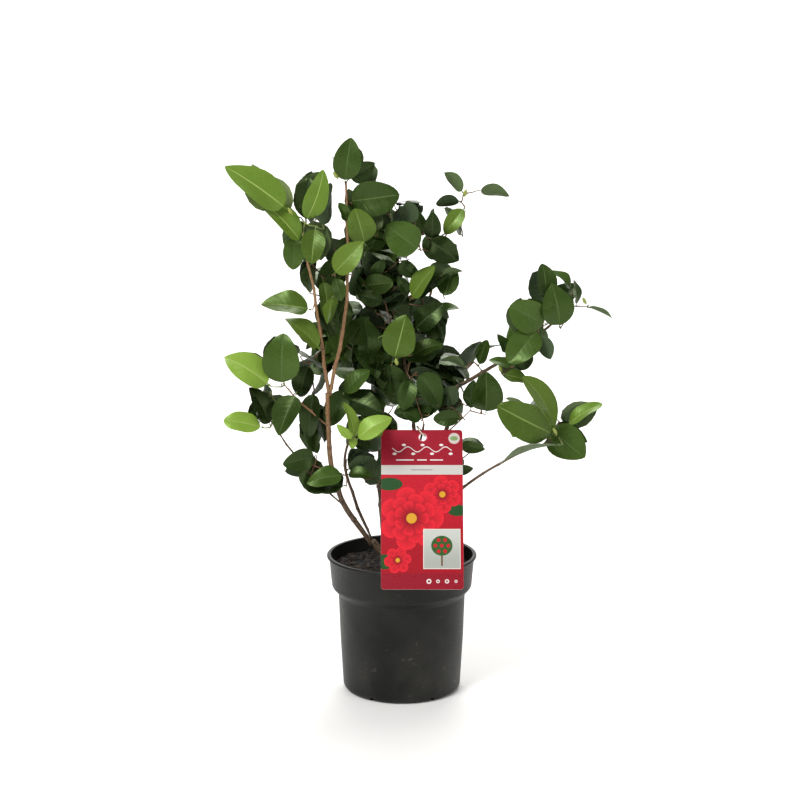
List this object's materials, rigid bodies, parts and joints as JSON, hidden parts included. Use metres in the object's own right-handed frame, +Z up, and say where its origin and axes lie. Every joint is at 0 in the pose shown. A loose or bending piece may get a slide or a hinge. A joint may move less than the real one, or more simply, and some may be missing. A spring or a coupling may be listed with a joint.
{
  "type": "camellia shrub",
  "caption": "Young evergreen camellia shrub in a round black nursery pot, open-branched with glossy oval leaves, with a leaning plant label.",
  "frame": {"origin": "centre of the pot's flat underside, on the surface it stands on", "axes": "+Z up along the pot's axis, -Y towards the front where the label leans, +X to the right seen from the front"},
  "size_m": [0.4778, 0.2618, 0.6956],
  "materials": {
    "pot": "satin black moulded plastic with faint scuffs and dust",
    "compost": "damp dark potting compost with bark chips",
    "label": null,
    "tie": "pale soft plastic loop",
    "bark": "smooth young orange-brown to grey-brown bark",
    "leaf_pale": "glossy yellow-green young leaves",
    "leaf_mid": "glossy mid-green leaves",
    "leaf_dark": "glossy dark green leaves"
  },
  "bodies": {
    "root": {"pot": "pot", "compost": "compost", "label": "label", "tie": "tie", "trunk": "bark", "left_leader": "bark", "left_fork": "bark", "right_fork": "bark", "inner_stem": "bark", "slim_stem": "bark", "centre_stem": "bark", "label_stem": "bark", "low_right": "bark", "right_lower": "bark", "right_outer": "bark", "upper_right": "bark", "left_twig": "bark", "low_left_twig": "bark", "back_stem": "bark", "top_tip": "leaf_mid", "top_shoulder": "leaf_mid", "left_top": "leaf_pale", "left_upper": "leaf_pale", "left_mid": "leaf_dark", "left_arm": "leaf_mid", "left_arm_low": "leaf_mid", "left_fan": "leaf_pale", "left_fan_low": "leaf_pale", "left_inner": "leaf_dark", "low_left": "leaf_dark", "star": "leaf_pale", "centre_low": "leaf_dark", "under_star": "leaf_dark", "centre": "leaf_dark", "centre_front": "leaf_pale", "centre_right": "leaf_dark", "centre_right_low": "leaf_dark", "right_inner": "leaf_dark", "upper_centre": "leaf_mid", "upper_mid": "leaf_dark", "upper_right_front": "leaf_mid", "upper_right_dark": "leaf_dark", "upper_right_back": "leaf_dark", "tip_right": "leaf_mid", "right_mid": "leaf_mid", "far_right_top": "leaf_dark", "far_right_tip": "leaf_dark", "right_big": "leaf_mid", "right_twigs": "leaf_dark", "right_centre": "leaf_mid", "right_centre_up": "leaf_mid", "right_low_big": "leaf_pale", "right_low_round": "leaf_mid", "behind_label": "leaf_dark", "back_top": "leaf_mid", "back_mid": "leaf_dark", "back_left": "leaf_mid", "back_right": "leaf_dark", "back_low": "leaf_dark"}
  },
  "joints": []
}
